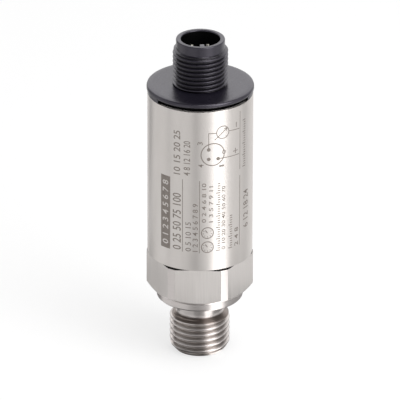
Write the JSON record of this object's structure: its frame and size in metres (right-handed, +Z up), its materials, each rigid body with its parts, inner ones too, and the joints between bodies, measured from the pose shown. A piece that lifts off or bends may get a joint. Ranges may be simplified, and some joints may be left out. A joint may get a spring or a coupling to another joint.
{
  "type": "pressure transmitter",
  "caption": "Compact pressure transmitter: steel tube housing on a hexagon fitting with a threaded process stub, and a moulded cap with a keyed, threaded plug.",
  "frame": {"origin": "centre of the sealing face under the hexagon", "axes": "+Z up the axis, from the process thread to the plug; the plug's coding key and the marking face -Y"},
  "size_m": [0.0232, 0.0232, 0.074],
  "materials": {
    "fitting_steel": "turned and milled, satin",
    "tube_steel": "finely brushed along the axis",
    "cap_plastic": "satin moulded, dark grey",
    "carrier_plastic": "satin moulded, black",
    "contact_metal": "thin gold plating",
    "lead_metal": "tinned",
    "seal_rubber": "matt black",
    "cell_ceramic": "fired alumina, white",
    "clamp_steel": "turned",
    "board_laminate": "green solder resist",
    "holder_plastic": "moulded, natural white",
    "chip_plastic": "moulded package, black",
    "capacitor_body": "moulded, amber",
    "sleeve_film": "thin polyester film",
    "membrane_film": "porous, white"
  },
  "bodies": {
    "root": {"process_fitting": "fitting_steel", "housing_tube": "tube_steel", "connector_cap": "cap_plastic", "contact_carrier": "carrier_plastic", "contact_pin_1": "contact_metal", "contact_pin_3": "contact_metal", "contact_pin_4": "contact_metal", "cap_seal_ring": "seal_rubber", "tube_seal_ring": "seal_rubber", "cell_seal_ring": "seal_rubber", "sensor_cell": "cell_ceramic", "cell_clamp_ring": "clamp_steel", "cell_lead_1": "lead_metal", "cell_lead_2": "lead_metal", "cell_lead_3": "lead_metal", "cell_lead_4": "lead_metal", "main_board": "board_laminate", "connector_board": "board_laminate", "board_holder": "holder_plastic", "board_link_header": "chip_plastic", "board_link_pins": "lead_metal", "signal_chip": "chip_plastic", "loop_driver": "chip_plastic", "capacitor_1": "capacitor_body", "capacitor_2": "capacitor_body", "insulating_sleeve": "sleeve_film", "vent_membrane": "membrane_film"}
  },
  "joints": []
}
